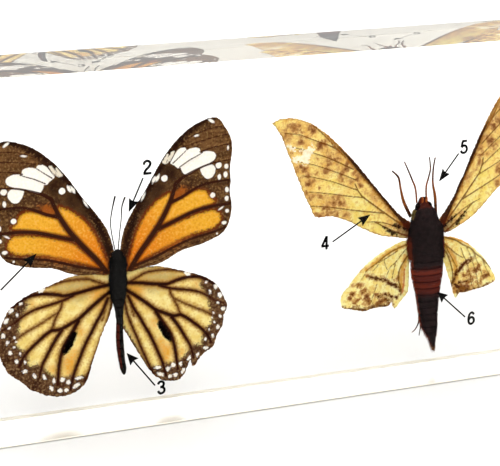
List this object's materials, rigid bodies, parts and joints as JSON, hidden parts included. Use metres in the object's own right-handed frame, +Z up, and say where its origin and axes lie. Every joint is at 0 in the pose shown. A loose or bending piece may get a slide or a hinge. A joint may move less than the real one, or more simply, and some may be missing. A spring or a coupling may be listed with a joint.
{
  "type": "butterfly and moth in clear resin block",
  "caption": "Clear rectangular resin block that stands on its long narrow side, with a spread butterfly and a spread hawk moth cast in it side by side.",
  "frame": {"origin": "middle of the block's base, on the surface that it stands on", "axes": "+X along the block's length to the viewer's right, +Y from the front face to the back, +Z up"},
  "size_m": [0.155, 0.024, 0.075],
  "materials": {
    "clear_resin": "clear cast resin, polished, with a ground base and ground edges",
    "butterfly_forewing": "matte scales, orange with dark brown borders and white spots",
    "butterfly_hindwing": "matte scales, pale yellow with dark veins and border",
    "butterfly_body": "short dark hair on a black cuticle",
    "butterfly_antenna": "black horn",
    "moth_body": "dark brown fur, red-brown on the abdomen",
    "moth_forewing": "matte amber scales with brown mottling, worn along the edge",
    "moth_hindwing": "matte pale yellow scales with brown bands",
    "moth_limb": "brown horn"
  },
  "bodies": {
    "root": {"block_front": "clear_resin", "block_back": "clear_resin", "butterfly_body": "butterfly_body", "butterfly_forewing_left": "butterfly_forewing", "butterfly_forewing_right": "butterfly_forewing", "butterfly_hindwing_left": "butterfly_hindwing", "butterfly_hindwing_right": "butterfly_hindwing", "butterfly_antenna_left": "butterfly_antenna", "butterfly_antenna_right": "butterfly_antenna", "moth_body": "moth_body", "moth_forewing_left": "moth_forewing", "moth_forewing_right": "moth_forewing", "moth_hindwing_left": "moth_hindwing", "moth_hindwing_right": "moth_hindwing", "moth_antenna_left": "moth_limb", "moth_antenna_right": "moth_limb", "moth_foreleg_left": "moth_limb", "moth_foreleg_right": "moth_limb", "moth_hindleg_left": "moth_limb", "moth_hindleg_right": "moth_limb"}
  },
  "joints": []
}
